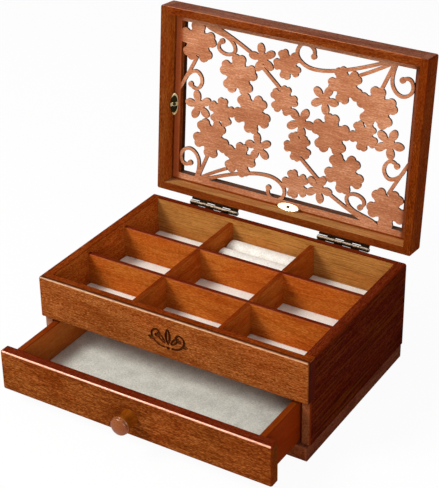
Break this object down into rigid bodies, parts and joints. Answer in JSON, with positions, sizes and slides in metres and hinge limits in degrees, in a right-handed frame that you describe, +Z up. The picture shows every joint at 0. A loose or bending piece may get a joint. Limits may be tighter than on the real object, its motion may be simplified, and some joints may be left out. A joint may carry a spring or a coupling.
{
  "type": "jewelry_box",
  "caption": "Wooden jewelry box with a hinged lid of blossom fretwork, a compartment tray with a ring cushion and a drawer with a turned knob",
  "frame": {"origin": "middle of the case's footprint, on the surface the box stands on", "axes": "+X to the box's right seen from the front, +Y to the back where the hinges are, +Z up"},
  "size_m": [0.28, 0.316, 0.2947],
  "materials": {
    "case_wood": "semi-gloss lacquer over a brown stain",
    "inner_wood": "satin lacquer over a red-brown stain",
    "fretwork_wood": "matt, sawn edges burnt dark",
    "knob_wood": "gloss lacquer",
    "lining": "woven flocked cloth",
    "cushion_fabric": "woven cloth over foam",
    "brass": "antique",
    "steel": "zinc plated"
  },
  "bodies": {
    "case": {"base_board": "case_wood", "left_side": "case_wood", "right_side": "case_wood", "back_panel": "case_wood", "upper_front": "case_wood", "tray_floor": "inner_wood", "tray_lining": "lining", "divider_left": "inner_wood", "divider_right": "inner_wood", "cross_divider_front": "inner_wood", "cross_divider_rear": "inner_wood", "ring_cushion": "cushion_fabric", "left_hinge_case_leaf": "brass", "right_hinge_case_leaf": "brass", "left_hinge_pin": "brass", "right_hinge_pin": "brass", "hinge_case_screws": "brass"},
    "drawer": {"drawer_front": "case_wood", "drawer_left_side": "inner_wood", "drawer_right_side": "inner_wood", "drawer_back": "inner_wood", "drawer_bottom": "inner_wood", "drawer_lining": "lining", "drawer_knob": "knob_wood", "knob_screw": "steel"},
    "lid": {"lid_hinge_rail": "case_wood", "lid_front_rail": "case_wood", "lid_left_rail": "case_wood", "lid_right_rail": "case_wood", "fretwork_panel": "fretwork_wood", "retainer_left": "brass", "retainer_hinge_side": "brass", "retainer_screws": "brass", "left_hinge_lid_leaf": "brass", "right_hinge_lid_leaf": "brass", "hinge_lid_screws": "brass"}
  },
  "joints": [
    {"name": "lid_hinge", "type": "hinge", "parent": "case", "child": "lid", "pos_m": [0, 0.0995, 0.1012], "axis": [1, 0, 0], "range_deg": [0, 95.3]},
    {"name": "drawer_slide", "type": "slide", "parent": "case", "child": "drawer", "axis": [0, -1, 0], "range_m": [-0.0558, 0.07]}
  ]
}
